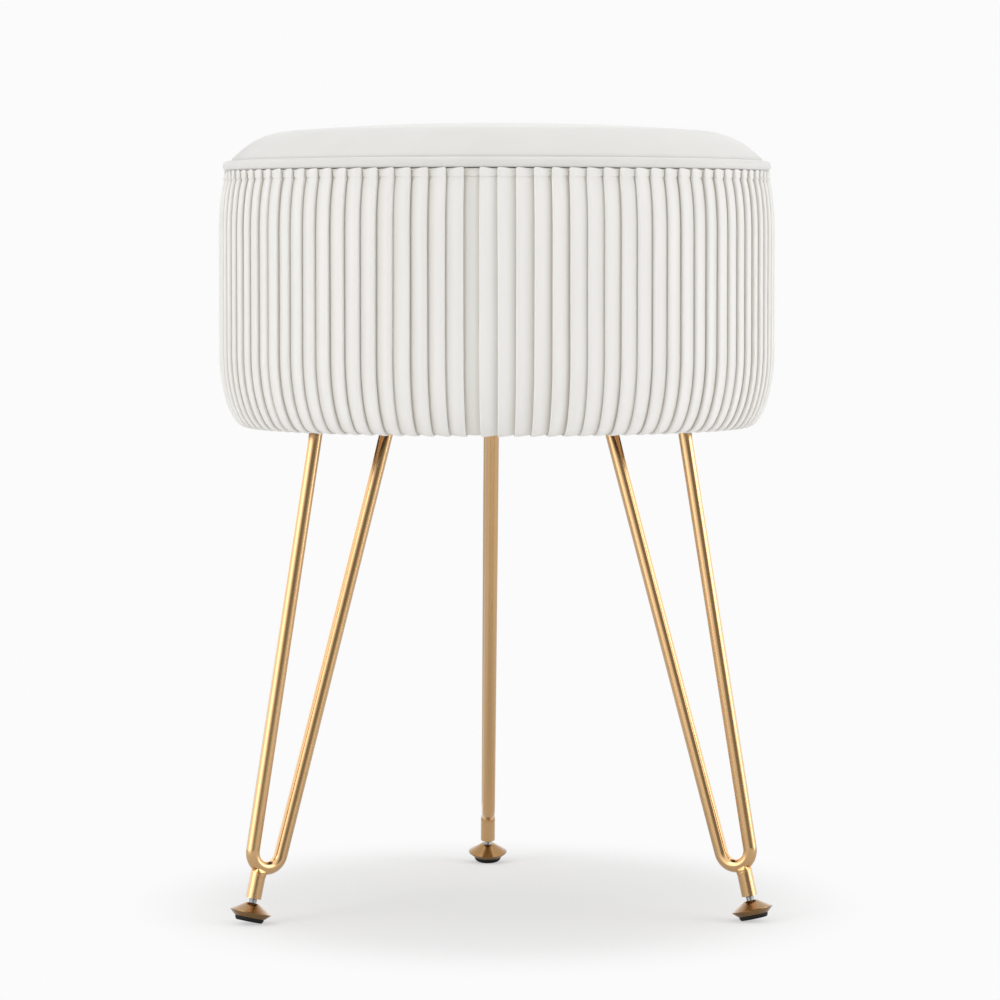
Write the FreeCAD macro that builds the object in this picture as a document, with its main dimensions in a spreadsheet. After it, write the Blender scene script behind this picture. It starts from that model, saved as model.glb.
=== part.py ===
import FreeCAD, Part
import math
import os

import Sketcher

# A round vanity stool with a lift-off padded lid, a pleated drum and three hairpin legs.
# The origin is on the drum's axis at floor level, +Z is up and the front seam faces -Y.

# Driving dimensions in millimetres and degrees
SIZES = {
    "drum_radius": 165.0,
    "drum_bottom": 285.0,
    "drum_height": 150.0,
    "foot_corner_width": 16.0,
    "foot_corner_height": 45.0,
    "rim_corner_width": 6.0,
    "rim_corner_height": 35.0,
    "padding_thickness": 11.4,
    "hoop_thickness": 4.0,
    "board_recess": 4.0,
    "base_board_thickness": 12.0,
    "cover_thickness": 1.4,
    "pleat_depth": 2.2,
    "pleat_count": 100.0,
    "seam_azimuth": 264.7,
    "seam_cell_angle": 3.4,
    "seam_panel_share": 0.6,
    "fold_share": 0.08,
    "hem_width": 2.4,
    "hem_height": 3.2,
    "lining_thickness": 1.0,
    "floor_lining_thickness": 1.2,
    "dust_cover_thickness": 0.6,
    "soft_gap": 0.3,
    "fit_gap": 0.1,
    "hoop_screw_count": 8.0,
    "hoop_screw_length": 18.0,
    "wood_screw_shank": 3.5,
    "wood_screw_head": 7.0,
    "wood_screw_point": 3.0,
    "lid_lining_thickness": 0.8,
    "welt_flange_thickness": 1.0,
    "welt_flange_width": 11.0,
    "lid_hem_thickness": 1.2,
    "lid_hem_width": 12.0,
    "lid_cover_thickness": 1.4,
    "lid_board_clearance": 1.4,
    "lid_board_thickness": 6.0,
    "lid_setback": 8.6,
    "welt_diameter": 6.0,
    "welt_core_diameter": 3.6,
    "crown_rise": 20.3,
    "crown_radius": 1586.0,
    "shoulder_width": 32.2,
    "lid_side_height": 6.66,
    "locating_clearance": 3.9,
    "locating_disc_thickness": 12.0,
    "disc_screw_inset": 39.5,
    "disc_screw_count": 6.0,
    "disc_screw_length": 15.0,
    "leg_count": 3.0,
    "first_leg_azimuth": 90.0,
    "leg_splay": 13.2,
    "hairpin_half_angle": 3.2,
    "rod_diameter": 8.0,
    "bend_radius": 9.4,
    "bend_setback": 7.7,
    "plate_thickness": 3.0,
    "plate_length": 78.0,
    "plate_width": 36.0,
    "plate_corner": 7.0,
    "plate_end_margin": 9.0,
    "plate_side_margin": 7.0,
    "leg_screw_diameter": 5.0,
    "leg_screw_head": 9.4,
    "leg_screw_length": 14.0,
    "tee_nut_barrel": 6.5,
    "tee_nut_flange": 15.0,
    "tee_nut_flange_thickness": 1.0,
    "tee_nut_depth": 9.0,
    "ferrule_diameter": 9.0,
    "ferrule_offset": 2.8,
    "ferrule_corner_gap": 1.0,
    "ferrule_length": 15.6,
    "stud_diameter": 5.0,
    "thread_clearance": 0.05,
    "stud_engagement": 11.0,
    "stud_head_diameter": 9.0,
    "stud_head_thickness": 1.8,
    "stud_gap": 2.7,
    "foot_diameter": 24.0,
    "foot_rim": 0.4,
    "pad_seat_step": 0.4,
    "foot_top_diameter": 7.6,
    "foot_cone_height": 5.1,
    "foot_bevel_height": 2.8,
    "pad_show": 2.4,
    "pad_recess": 1.2,
    "pad_top_diameter": 17.6,
    "pad_bottom_diameter": 15.2,
}

FULL_TURN = 360.0
BOTTOM_STATIONS = (90.0, 75.0, 50.0, 25.0, 0.0)
RIM_STATIONS = (0.0, 45.0, 75.0, 90.0)
AXIS_Z = FreeCAD.Vector(0, 0, 1)
AXIS_Y = FreeCAD.Vector(0, 1, 0)

doc = FreeCAD.newDocument("vanity_stool")
sheet = doc.addObject("Spreadsheet::Sheet", "Sizes")
for row, (alias, number) in enumerate(SIZES.items(), start=1):
    sheet.set("A%d" % row, alias)
    sheet.set("B%d" % row, str(number))
    sheet.setAlias("B%d" % row, alias)
doc.recompute()

nodes = []


class Size:
    """A number with the expression that ties it to the sheet."""

    def __init__(self, number, text):
        self.number = number
        self.text = text

    def combined(self, other, sign, number):
        return Size(number, "(%s %s %s)" % (self.text, sign, other.text))

    def __add__(self, other):
        other = as_size(other)
        return self.combined(other, "+", self.number + other.number)

    def __sub__(self, other):
        other = as_size(other)
        return self.combined(other, "-", self.number - other.number)

    def __mul__(self, other):
        other = as_size(other)
        return self.combined(other, "*", self.number * other.number)

    def __truediv__(self, other):
        other = as_size(other)
        return self.combined(other, "/", self.number / other.number)


def as_size(value):
    """A bare number as a size of its own."""
    return value if isinstance(value, Size) else Size(float(value), repr(float(value)))


def size(alias):
    """The size that the sheet holds under this alias."""
    return Size(float(sheet.get(alias)), "Sizes." + alias)


def derived(alias, value):
    """A value that follows from other sizes, kept in the sheet under a name of its own."""
    row = 1
    while sheet.getContents("A%d" % row):
        row += 1
    sheet.set("A%d" % row, alias)
    sheet.set("B%d" % row, "=" + value.text.replace("Sizes.", ""))
    sheet.setAlias("B%d" % row, alias)
    doc.recompute()
    return size(alias)


def root(value):
    return Size(math.sqrt(value.number), "sqrt(%s)" % value.text)


def sine(angle):
    return Size(math.sin(math.radians(angle.number)), "sin(%s)" % angle.text)


def cosine(angle):
    return Size(math.cos(math.radians(angle.number)), "cos(%s)" % angle.text)


def tangent(angle):
    return Size(math.tan(math.radians(angle.number)), "tan(%s)" % angle.text)


def bind(item, **values):
    """Sets properties of an object and ties them to the sheet."""
    for name, value in values.items():
        setattr(item, name, value.number)
        item.setExpression(name, value.text)


def named(item, label, placement=None):
    """Gives an object its node's name and, if it has one, its place."""
    item.Label = label
    if placement is not None:
        item.Placement = placement
    nodes.append(item)
    return item


def new_body(label):
    return doc.addObject("PartDesign::Body", label + "_body")


def plane_sketch(body, role, name, offset=None):
    """A sketch on one of the body's own origin planes."""
    sketch = body.newObject("Sketcher::SketchObject", name)
    plane = [item for item in body.Origin.OriginFeatures if item.Role == role][0]
    sketch.AttachmentSupport = [(plane, "")]
    sketch.MapMode = "FlatFace"
    if offset is not None:
        sketch.AttachmentOffset = offset
    return sketch


def constrain(sketch, kind, geometry, point, value):
    """A signed distance from the sketch's origin to a point, tied to the sheet."""
    index = sketch.addConstraint(Sketcher.Constraint(kind, -1, 1, geometry, point, value.number))
    sketch.setExpression("Constraints[%d]" % index, value.text)


def arc_between(start, end, radius, side):
    """The arc of this radius from start to end, bulging to the right of that way if side is 1."""
    chord = end - start
    middle = (start + end) * 0.5
    reach = math.sqrt(max(radius**2 - (chord.Length / 2) ** 2, 0.0))
    across = FreeCAD.Vector(-chord.y, chord.x, 0).normalize()
    centre = middle + across * (side * reach)
    angles = [math.atan2(p.y - centre.y, p.x - centre.x) for p in (start, end)]
    circle = Part.Circle(centre, AXIS_Z, radius)
    if side > 0:
        return Part.ArcOfCircle(circle, angles[0], angles[1]), 1, 2
    return Part.ArcOfCircle(circle, angles[1], angles[0]), 2, 1


def outline(sketch, points, arcs=None):
    """A closed outline. arcs maps an edge's index to its radius and the side on which its centre lies."""
    arcs = arcs or {}
    places = [FreeCAD.Vector(x.number, y.number, 0) for x, y in points]
    ends = []
    for index, place in enumerate(places):
        following = places[(index + 1) % len(places)]
        if index in arcs:
            radius, side = arcs[index]
            arc, first, last = arc_between(place, following, radius.number, side)
            geometry = sketch.addGeometry(arc, False)
        else:
            geometry = sketch.addGeometry(Part.LineSegment(place, following), False)
            first, last = 1, 2
        ends.append((geometry, first, last))
    for index, (geometry, first, last) in enumerate(ends):
        follower = ends[(index + 1) % len(ends)]
        sketch.addConstraint(Sketcher.Constraint("Coincident", geometry, last, follower[0], follower[1]))
    for (geometry, first, last), (x, y) in zip(ends, points):
        constrain(sketch, "DistanceX", geometry, first, x)
        constrain(sketch, "DistanceY", geometry, first, y)
    for index, (radius, side) in arcs.items():
        place = sketch.addConstraint(Sketcher.Constraint("Radius", ends[index][0], radius.number))
        sketch.setExpression("Constraints[%d]" % place, radius.text)


def revolve(body, sketch, axis="V_Axis"):
    turned = body.newObject("PartDesign::Revolution", sketch.Name + "_turned")
    turned.Profile = sketch
    turned.ReferenceAxis = (sketch, [axis])
    turned.Angle = FULL_TURN
    return turned


def turned_body(label, points, arcs=None):
    """A body turned about its own Z axis from an outline of radii and heights."""
    body = new_body(label)
    sketch = plane_sketch(body, "XZ_Plane", label + "_outline")
    outline(sketch, points, arcs)
    revolve(body, sketch)
    return body


def ring_points(inner, outer, low, high):
    return [(inner, low), (outer, low), (outer, high), (inner, high)]


def shape_group(label, shapes):
    """Separate solids that share one node."""
    group = doc.addObject("Part::Feature", label)
    group.Shape = Part.makeCompound(shapes)
    return named(group, label)


def bored(label, blank, tools):
    """A blank with the holes that the tool solids leave in it."""
    cutter = doc.addObject("Part::Feature", label + "_holes")
    cutter.Shape = Part.makeCompound(tools)
    cut = doc.addObject("Part::Cut", label + "_bored")
    cut.Base = blank
    cut.Tool = cutter
    return cut


def turned_shape(points):
    """A plain solid turned about Z from radii and heights."""
    places = [FreeCAD.Vector(r, 0, z) for r, z in points]
    face = Part.Face(Part.makePolygon(places + places[:1]))
    return face.revolve(FreeCAD.Vector(), AXIS_Z, FULL_TURN)


def wood_screw(length, gap=0.0):
    """A countersunk wood screw, head down at the origin and point up, or its pilot hole."""
    shank = size("wood_screw_shank").number / 2 + gap
    head = size("wood_screw_head").number / 2 + gap
    return turned_shape([
        (0, -gap),
        (head, -gap),
        (head, 0),
        (shank, head - shank),
        (shank, length - size("wood_screw_point").number),
        (0, length + gap),
    ])


def about_axis(angle):
    return FreeCAD.Placement(FreeCAD.Vector(), FreeCAD.Rotation(AXIS_Z, angle))


def spread(shape, placements):
    """Copies of a shape at each of these places."""
    copies = []
    for placement in placements:
        copy = shape.copy()
        copy.Placement = placement
        copies.append(copy)
    return copies


# Levels and radii that follow from the driving dimensions
drum_bottom = size("drum_bottom")
drum_top = drum_bottom + size("drum_height")
drum_radius = size("drum_radius")
cover_thickness = size("cover_thickness")
soft_gap = size("soft_gap")
fit_gap = size("fit_gap")
sleeve_inset = size("pleat_depth") + cover_thickness
hoop_outer = drum_radius - sleeve_inset - soft_gap - size("padding_thickness") - soft_gap
hoop_inner = hoop_outer - size("hoop_thickness")
hoop_bottom = drum_bottom + cover_thickness
hoop_top = drum_top - cover_thickness
board_bottom = hoop_bottom + size("board_recess")
board_top = board_bottom + size("base_board_thickness")
board_radius = hoop_inner - fit_gap
lining_outer = hoop_inner - fit_gap
mouth_radius = lining_outer - size("lining_thickness")
floor_lining_top = board_top + size("floor_lining_thickness")
plate_top = board_bottom - size("dust_cover_thickness")
plate_bottom = plate_top - size("plate_thickness")


def drum_stations(inset):
    """Radius and height of the drum's side from bottom to rim, moved in by inset."""
    stations = []
    for angle in BOTTOM_STATIONS:
        turn = math.radians(angle)
        width = size("foot_corner_width")
        radius = drum_radius - width * (1 - math.cos(turn)) - inset
        height = drum_bottom + size("foot_corner_height") * (1 - math.sin(turn))
        stations.append((radius, height))
    for angle in RIM_STATIONS:
        turn = math.radians(angle)
        width = size("rim_corner_width")
        radius = drum_radius - width * (1 - math.cos(turn)) - inset
        height = drum_top - size("rim_corner_height") * (1 - math.sin(turn))
        stations.append((radius, height))
    return stations


# Drum: bent plywood hoop
hoop_blank = turned_body("drum_hoop_blank", ring_points(hoop_inner, hoop_outer, hoop_bottom, hoop_top))
board_blank = turned_body(
    "base_board_blank", ring_points(as_size(0), board_radius, board_bottom, board_top)
)

# Wood screws through the hoop into the edge of the base board
screw_height = (board_bottom.number + board_top.number) / 2
hoop_screw_places = []
for step in range(int(size("hoop_screw_count").number)):
    azimuth = FULL_TURN * (step + 0.5) / size("hoop_screw_count").number
    inward = FreeCAD.Placement(
        FreeCAD.Vector(hoop_outer.number, 0, screw_height), FreeCAD.Rotation(AXIS_Y, -90)
    )
    hoop_screw_places.append(about_axis(azimuth).multiply(inward))
hoop_screw_length = size("hoop_screw_length").number
shape_group("hoop_screws", spread(wood_screw(hoop_screw_length), hoop_screw_places))
hoop_screw_holes = spread(wood_screw(hoop_screw_length, fit_gap.number), hoop_screw_places)
named(bored("drum_hoop", hoop_blank, hoop_screw_holes), "drum_hoop")

# Leg frames: each leg stands in a radial plane, and its foot has an axis of its own
leg_count = int(size("leg_count").number)
leg_azimuths = [size("first_leg_azimuth").number + FULL_TURN * step / leg_count for step in range(leg_count)]
splay = size("leg_splay")
half_angle = size("hairpin_half_angle")
outer_tilt = splay - half_angle
inner_tilt = splay + half_angle
rod_radius = size("rod_diameter") / 2
bend_radius = size("bend_radius")
bend_reach = drum_radius - size("bend_setback")
ferrule_radius = size("ferrule_diameter") / 2
ferrule_offset = size("ferrule_offset")
bend_outside = bend_radius + rod_radius

# Heights along the foot's own axis, from the underside of the pad
pad_top = size("pad_show") + size("pad_recess")
rim_height = size("pad_show") + size("foot_bevel_height")
cone_top = rim_height + size("foot_rim") + size("foot_cone_height")
ferrule_bottom = cone_top + size("stud_gap")
ferrule_top = ferrule_bottom + size("ferrule_length")
corner_reach = ferrule_offset + ferrule_radius
corner_drop = root(bend_outside * bend_outside - corner_reach * corner_reach)
bend_level = ferrule_top + size("ferrule_corner_gap") + corner_drop

# Where the foot's axis meets the floor side and where the bend's centre lies
pad_bottom_radius = size("pad_bottom_diameter") / 2
foot_height = pad_bottom_radius * sine(splay)
foot_reach = bend_reach + ferrule_offset * cosine(splay) + bend_level * sine(splay)
bend_height = foot_height + bend_level * cosine(splay) - ferrule_offset * sine(splay)
outer_top = bend_reach + bend_radius * cosine(outer_tilt) - (
    plate_bottom - bend_height - bend_radius * sine(outer_tilt)
) * tangent(outer_tilt)
inner_top = bend_reach - bend_radius * cosine(inner_tilt) - (
    plate_bottom - bend_height + bend_radius * sine(inner_tilt)
) * tangent(inner_tilt)
plate_middle = (outer_top + inner_top) / 2
plate_screw_reach = size("plate_length") / 2 - size("plate_end_margin")
plate_screw_spread = size("plate_width") / 2 - size("plate_side_margin")

leg_frames = [about_axis(azimuth) for azimuth in leg_azimuths]
foot_in_leg = FreeCAD.Placement(
    FreeCAD.Vector(foot_reach.number, 0, foot_height.number), FreeCAD.Rotation(AXIS_Y, -splay.number)
)
foot_frames = [frame.multiply(foot_in_leg) for frame in leg_frames]


def leg_screw(gap=0.0):
    """A countersunk machine screw in its leg plate, or the hole that clears it."""
    shank = size("leg_screw_diameter").number / 2 + gap
    head = size("leg_screw_head").number / 2 + gap
    return turned_shape([
        (0, -gap),
        (head, -gap),
        (head, 0),
        (shank, head - shank),
        (shank, size("leg_screw_length").number + gap),
        (0, size("leg_screw_length").number + gap),
    ])


def tee_nut(gap=0.0):
    """A flanged nut let into the top of the base board, or its recess."""
    barrel = size("tee_nut_barrel").number / 2 + gap
    flange = size("tee_nut_flange").number / 2 + gap
    bore = 0 if gap else size("leg_screw_diameter").number / 2 + size("thread_clearance").number
    seat = -size("tee_nut_flange_thickness").number
    return turned_shape([
        (bore, -size("tee_nut_depth").number),
        (barrel, -size("tee_nut_depth").number),
        (barrel, seat),
        (flange, seat),
        (flange, 0),
        (bore, 0),
    ])


def plate_screw_places(level):
    """The four screw places in one leg's frame at this height."""
    places = []
    for along in (-1, 1):
        for across in (-1, 1):
            x = plate_middle.number + along * plate_screw_reach.number
            y = across * plate_screw_spread.number
            places.append(FreeCAD.Placement(FreeCAD.Vector(x, y, level), FreeCAD.Rotation()))
    return places


screw_places = [
    [frame.multiply(place) for place in plate_screw_places(plate_bottom.number)] for frame in leg_frames
]
nut_places = [
    frame.multiply(place) for frame in leg_frames for place in plate_screw_places(board_top.number)
]
shape_group("tee_nuts", spread(tee_nut(), nut_places))
screw_holes = [
    hole for places in screw_places for hole in spread(leg_screw(fit_gap.number), places)
]
nut_recesses = spread(tee_nut(fit_gap.number), nut_places)
named(
    bored("base_board", board_blank, hoop_screw_holes + screw_holes + nut_recesses), "base_board"
)
dust_blank = turned_body(
    "dust_cover_blank",
    ring_points(as_size(0), hoop_inner - size("hem_width") - soft_gap, plate_top, board_bottom),
)
named(bored("dust_cover", dust_blank, screw_holes), "dust_cover")

# Linings of the storage well
named(
    turned_body("floor_lining", ring_points(as_size(0), mouth_radius - fit_gap, board_top, floor_lining_top)),
    "floor_lining",
)
named(
    turned_body("wall_lining", ring_points(mouth_radius, lining_outer, board_top, hoop_top)), "wall_lining"
)

# Padding between the hoop and the pleated sleeve
inner_stations = [
    (radius, height)
    for radius, height in drum_stations(sleeve_inset)[2:-1]
    if radius.number > hoop_outer.number and height.number < hoop_top.number
]
padding_stations = [(radius - soft_gap, height) for radius, height in inner_stations]
padding_inner = hoop_outer + soft_gap
padding_points = (
    [(padding_inner, padding_stations[0][1])]
    + padding_stations
    + [(padding_inner, padding_stations[-1][1])]
)
named(turned_body("drum_wadding", padding_points), "drum_wadding")


def pleat_edges():
    """Azimuth and depth share of each corner of the pleats, starting at the front seam."""
    count = int(size("pleat_count").number)
    cell = FULL_TURN / count
    half = count // 2
    seam = size("seam_azimuth").number
    starts = [seam + cell * step for step in range(half + 1)]
    left = [seam - size("seam_cell_angle").number - cell * step for step in range(count - half)]
    share = size("fold_share").number
    corners = []
    for start, end in zip(starts, starts[1:]):
        fold = (end - start) * share
        corners += [(start + fold, 0.0), (end, 1.0)]
    boundaries = [seam] + left
    crest = size("seam_panel_share").number
    mirrored = []
    for start, end in zip(boundaries, boundaries[1:]):
        fold = (start - end) * share
        mirrored += [(start - fold, crest), (end, 1.0)]
        crest = 0.0
    mirrored[-1] = (starts[-1] - FULL_TURN, 1.0)
    return [(seam, 1.0)] + corners[:-1] + list(reversed(mirrored))


def pleated_ring(radius, height, corners):
    """A closed wire round the drum that steps in and out at each pleat."""
    depth = size("pleat_depth").number
    places = []
    for azimuth, share in corners:
        reach = radius - depth * share
        turn = math.radians(azimuth)
        places.append(FreeCAD.Vector(reach * math.cos(turn), reach * math.sin(turn), height))
    return Part.makePolygon(places + places[:1])


# Pleated velvet sleeve, turned in over the rim and under the hoop
corners = pleat_edges()
rings = [
    pleated_ring(radius.number, height.number, corners) for radius, height in drum_stations(as_size(0))
]
hem_outer = hoop_inner - fit_gap
hem_inner = hem_outer - size("hem_width")
hem_top = drum_bottom + size("hem_height")
clear_below = drum_bottom - cover_thickness
clear_above = drum_top + cover_thickness
hollow = turned_shape(
    [(0, clear_below.number), (hem_inner.number, clear_below.number), (hem_inner.number, hem_top.number)]
    + [(hem_outer.number, hem_top.number), (hem_outer.number, hoop_bottom.number)]
    + [(hoop_outer.number + fit_gap.number, hoop_bottom.number)]
    + [(radius.number, height.number) for radius, height in inner_stations]
    + [(inner_stations[-1][0].number, hoop_top.number), (mouth_radius.number, hoop_top.number)]
    + [(mouth_radius.number, clear_above.number), (0, clear_above.number)]
)
sleeve = doc.addObject("Part::Feature", "pleated_cover")
sleeve.Shape = Part.makeLoft(rings, True, True).cut(hollow)
named(sleeve, "pleated_cover")

# Lid, from its lining up
lid_bottom = drum_top + soft_gap
lid_lining_top = lid_bottom + size("lid_lining_thickness")
welt_flange_top = lid_lining_top + size("welt_flange_thickness")
lid_hem_top = welt_flange_top + size("lid_hem_thickness")
lid_board_top = lid_hem_top + size("lid_board_thickness")
lid_side = drum_radius - size("lid_setback")
lid_cover_thickness = size("lid_cover_thickness")
lid_cover_inner = lid_side - lid_cover_thickness
lid_board_radius = lid_cover_inner - size("lid_board_clearance")
crown_radius = size("crown_radius")
shoulder_width = size("shoulder_width")
flat_radius = lid_side - shoulder_width
crown_top = lid_board_top + size("crown_rise")
dome_centre = crown_top - crown_radius
flat_sine = flat_radius / crown_radius
flat_cosine = root(as_size(1) - flat_sine * flat_sine)

# The shoulder leaves the dome smoothly and ends at the top of the lid's upright side
shoulder_drop = dome_centre + crown_radius * flat_cosine - welt_flange_top - size("lid_side_height")
shoulder_reach = shoulder_drop * flat_cosine - shoulder_width * flat_sine
shoulder_span = shoulder_width * shoulder_width + shoulder_drop * shoulder_drop
shoulder_radius = derived("shoulder_radius", shoulder_span / (shoulder_reach * 2))


def crown_points(inset, floor=None):
    """The crown's top and the ends of its dome and shoulder, moved in by inset and cut at floor."""
    dome = crown_radius - inset
    shoulder = shoulder_radius - inset
    centre_reach = flat_radius - shoulder_radius * flat_sine
    centre_height = dome_centre + (crown_radius - shoulder_radius) * flat_cosine
    if floor is None:
        across = lid_side - inset - centre_reach
        foot = (lid_side - inset, centre_height + root(shoulder * shoulder - across * across))
    else:
        rise = floor - centre_height
        foot = (centre_reach + root(shoulder * shoulder - rise * rise), floor)
    return [
        (as_size(0), crown_top - inset),
        (centre_reach + shoulder * flat_sine, centre_height + shoulder * flat_cosine),
        foot,
    ], dome, shoulder


outside, outer_dome, outer_shoulder = crown_points(as_size(0))
inside, inner_dome, inner_shoulder = crown_points(lid_cover_thickness)
hem_reach = lid_cover_inner - size("lid_hem_width")
lid_cover_points = (
    outside
    + [(lid_side, welt_flange_top), (hem_reach, welt_flange_top), (hem_reach, lid_hem_top)]
    + [(lid_cover_inner, lid_hem_top)]
    + list(reversed(inside))
)
named(
    turned_body(
        "lid_cover",
        lid_cover_points,
        {
            0: (outer_dome, -1),
            1: (outer_shoulder, -1),
            7: (inner_shoulder, 1),
            8: (inner_dome, 1),
        },
    ),
    "lid_cover",
)
padded, foam_dome, foam_shoulder = crown_points(lid_cover_thickness + soft_gap, lid_board_top)
named(
    turned_body(
        "lid_foam",
        padded + [(as_size(0), lid_board_top)],
        {0: (foam_dome, -1), 1: (foam_shoulder, -1)},
    ),
    "lid_foam",
)

# Locating disc that drops into the drum's mouth, screwed up into the lid board
lid_lining_thickness = size("lid_lining_thickness")
disc_radius = mouth_radius - size("locating_clearance") - lid_lining_thickness - fit_gap
disc_bottom = lid_hem_top - size("locating_disc_thickness")
lid_board_blank = turned_body(
    "lid_board_blank", ring_points(as_size(0), lid_board_radius, lid_hem_top, lid_board_top)
)
disc_blank = turned_body(
    "locating_disc_blank", ring_points(as_size(0), disc_radius, disc_bottom, lid_hem_top)
)
disc_screw_places = []
for step in range(int(size("disc_screw_count").number)):
    azimuth = FULL_TURN * step / size("disc_screw_count").number
    screw_circle = disc_radius - size("disc_screw_inset")
    outward = FreeCAD.Placement(
        FreeCAD.Vector(screw_circle.number, 0, disc_bottom.number), FreeCAD.Rotation()
    )
    disc_screw_places.append(about_axis(azimuth).multiply(outward))
disc_screw_length = size("disc_screw_length").number
shape_group("disc_screws", spread(wood_screw(disc_screw_length), disc_screw_places))
disc_screw_holes = spread(wood_screw(disc_screw_length, fit_gap.number), disc_screw_places)
named(bored("lid_board", lid_board_blank, disc_screw_holes), "lid_board")
named(bored("locating_disc", disc_blank, disc_screw_holes), "locating_disc")

# Lining cloth over the lid's underside and round the disc
wrap_inner = disc_radius + fit_gap
wrap_outer = wrap_inner + lid_lining_thickness
wrap_bottom = disc_bottom - lid_lining_thickness
named(
    turned_body(
        "lid_lining",
        [
            (as_size(0), wrap_bottom),
            (wrap_outer, wrap_bottom),
            (wrap_outer, lid_bottom),
            (lid_board_radius, lid_bottom),
            (lid_board_radius, lid_lining_top),
            (wrap_inner, lid_lining_top),
            (wrap_inner, disc_bottom),
            (as_size(0), disc_bottom),
        ],
    ),
    "lid_lining",
)

# Piping round the lid's edge, with its cord and the flange that holds it under the board
welt_half = size("welt_diameter") / 2
welt_reach = lid_side + fit_gap + welt_half
welt_height = lid_lining_top + welt_half
core_half = size("welt_core_diameter") / 2
welt_body = new_body("lid_welt")
welt_sketch = plane_sketch(welt_body, "XZ_Plane", "lid_welt_outline")
flange_lift = welt_half - size("welt_flange_thickness")
flange_meet = welt_reach - root(welt_half * welt_half - flange_lift * flange_lift)
outline(
    welt_sketch,
    [
        (lid_cover_inner - size("welt_flange_width"), lid_lining_top),
        (welt_reach, lid_lining_top),
        (welt_reach + welt_half, welt_height),
        (welt_reach, welt_height + welt_half),
        (flange_meet, welt_flange_top),
        (lid_cover_inner - size("welt_flange_width"), welt_flange_top),
    ],
    {1: (welt_half, 1), 2: (welt_half, 1), 3: (welt_half, 1)},
)
revolve(welt_body, welt_sketch)
tunnel_sketch = plane_sketch(welt_body, "XZ_Plane", "lid_welt_tunnel")


def round_section(sketch, x, y, radius):
    """A circle whose centre and radius follow the sheet."""
    centre = FreeCAD.Vector(x.number, y.number, 0)
    circle = sketch.addGeometry(Part.Circle(centre, AXIS_Z, radius.number), False)
    constrain(sketch, "DistanceX", circle, 3, x)
    constrain(sketch, "DistanceY", circle, 3, y)
    place = sketch.addConstraint(Sketcher.Constraint("Radius", circle, radius.number))
    sketch.setExpression("Constraints[%d]" % place, radius.text)


def groove(body, sketch, axis="V_Axis"):
    cut = body.newObject("PartDesign::Groove", sketch.Name + "_groove")
    cut.Profile = sketch
    cut.ReferenceAxis = (sketch, [axis])
    cut.Angle = FULL_TURN
    return cut


round_section(tunnel_sketch, welt_reach, welt_height, core_half + fit_gap)
groove(welt_body, tunnel_sketch)
named(welt_body, "lid_welt")
core_body = new_body("welt_core")
core_sketch = plane_sketch(core_body, "XZ_Plane", "welt_core_outline")
round_section(core_sketch, welt_reach, welt_height, core_half)
revolve(core_body, core_sketch)
named(core_body, "welt_core")


def leg_plate(label, frame):
    """A rounded steel plate with four countersunk holes."""
    body = new_body(label)
    level = FreeCAD.Placement(FreeCAD.Vector(0, 0, plate_bottom.number), FreeCAD.Rotation())
    sketch = plane_sketch(body, "XY_Plane", label + "_outline", level)
    sketch.setExpression("AttachmentOffset.Base.z", plate_bottom.text)
    near = plate_middle - size("plate_length") / 2
    far = plate_middle + size("plate_length") / 2
    half = size("plate_width") / 2
    other = as_size(0) - half
    outline(sketch, [(near, other), (far, other), (far, half), (near, half)])
    pad = body.newObject("PartDesign::Pad", label + "_slab")
    pad.Profile = sketch
    bind(pad, Length=size("plate_thickness"))
    doc.recompute()
    upright = [
        "Edge%d" % (index + 1)
        for index, edge in enumerate(pad.Shape.Edges)
        if abs(edge.tangentAt(edge.FirstParameter).z) > 0.99
    ]
    rounded = body.newObject("PartDesign::Fillet", label + "_corners")
    rounded.Base = (pad, upright)
    bind(rounded, Radius=size("plate_corner"))
    holes = plane_sketch(body, "XY_Plane", label + "_holes", level)
    holes.setExpression("AttachmentOffset.Base.z", plate_bottom.text)
    hole_radius = size("leg_screw_diameter") / 2 + fit_gap
    for along in (-1, 1):
        for across in (-1, 1):
            x = plate_middle + plate_screw_reach * along
            y = plate_screw_spread * across
            round_section(holes, x, y, hole_radius)
    pocket = body.newObject("PartDesign::Pocket", label + "_bores")
    pocket.Profile = holes
    pocket.Type = "ThroughAll"
    pocket.Reversed = True
    doc.recompute()
    mouths = [
        "Edge%d" % (index + 1)
        for index, edge in enumerate(pocket.Shape.Edges)
        if hasattr(edge.Curve, "Radius")
        and abs(edge.Curve.Radius - hole_radius.number) < fit_gap.number / 10
        and abs(edge.CenterOfMass.z - plate_bottom.number) < fit_gap.number / 10
    ]
    sunk = body.newObject("PartDesign::Chamfer", label + "_countersinks")
    sunk.Base = (pocket, mouths)
    bind(sunk, Size=(size("leg_screw_head") - size("leg_screw_diameter")) / 2)
    return named(body, label, frame)


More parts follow.
